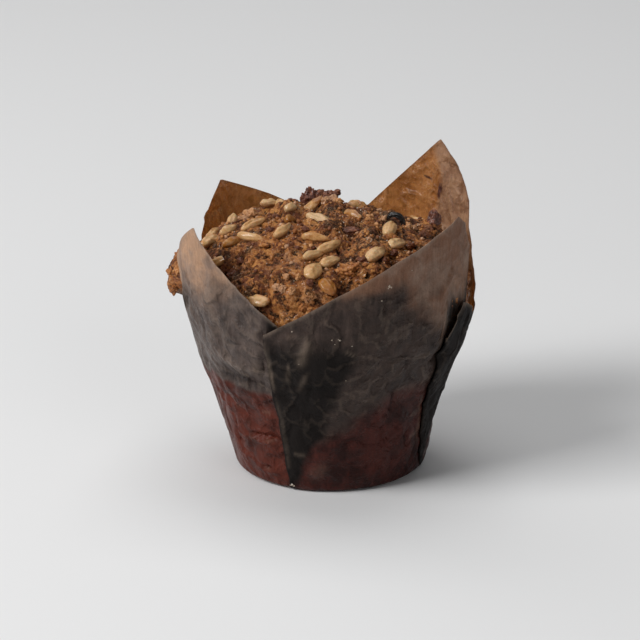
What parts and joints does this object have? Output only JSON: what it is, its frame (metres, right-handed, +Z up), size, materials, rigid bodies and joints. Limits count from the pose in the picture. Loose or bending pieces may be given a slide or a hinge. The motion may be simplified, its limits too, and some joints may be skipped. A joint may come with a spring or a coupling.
{
  "type": "muffin in a paper case",
  "caption": "Craggy round muffin topped with sunflower seeds and dried fruit, baked in a pleated tulip case of dark, grease-soaked baking paper with four standing petals.",
  "frame": {"origin": "centre of the case's flat base, on the surface that it stands on", "axes": "+Z up; -Y towards the open front, where two petals part; +X to the right as seen from the front"},
  "size_m": [0.0962, 0.0954, 0.095],
  "materials": {
    "baking_paper": "thin baking paper soaked with fat: dark and slightly greasy, paler and dry at its petals",
    "crust": "rough baked crust with a light glaze, golden brown on its knobs and darker in its creases",
    "dried_fruit": "dark, shrivelled and slightly glossy"
  },
  "bodies": {
    "root": {"paper_case": "baking_paper", "muffin": "crust", "dried_fruit_middle": "dried_fruit", "dried_fruit_right": "dried_fruit", "dried_fruit_centre": "dried_fruit", "dried_fruit_back": "dried_fruit", "dried_fruit_top": "dried_fruit"}
  },
  "joints": []
}
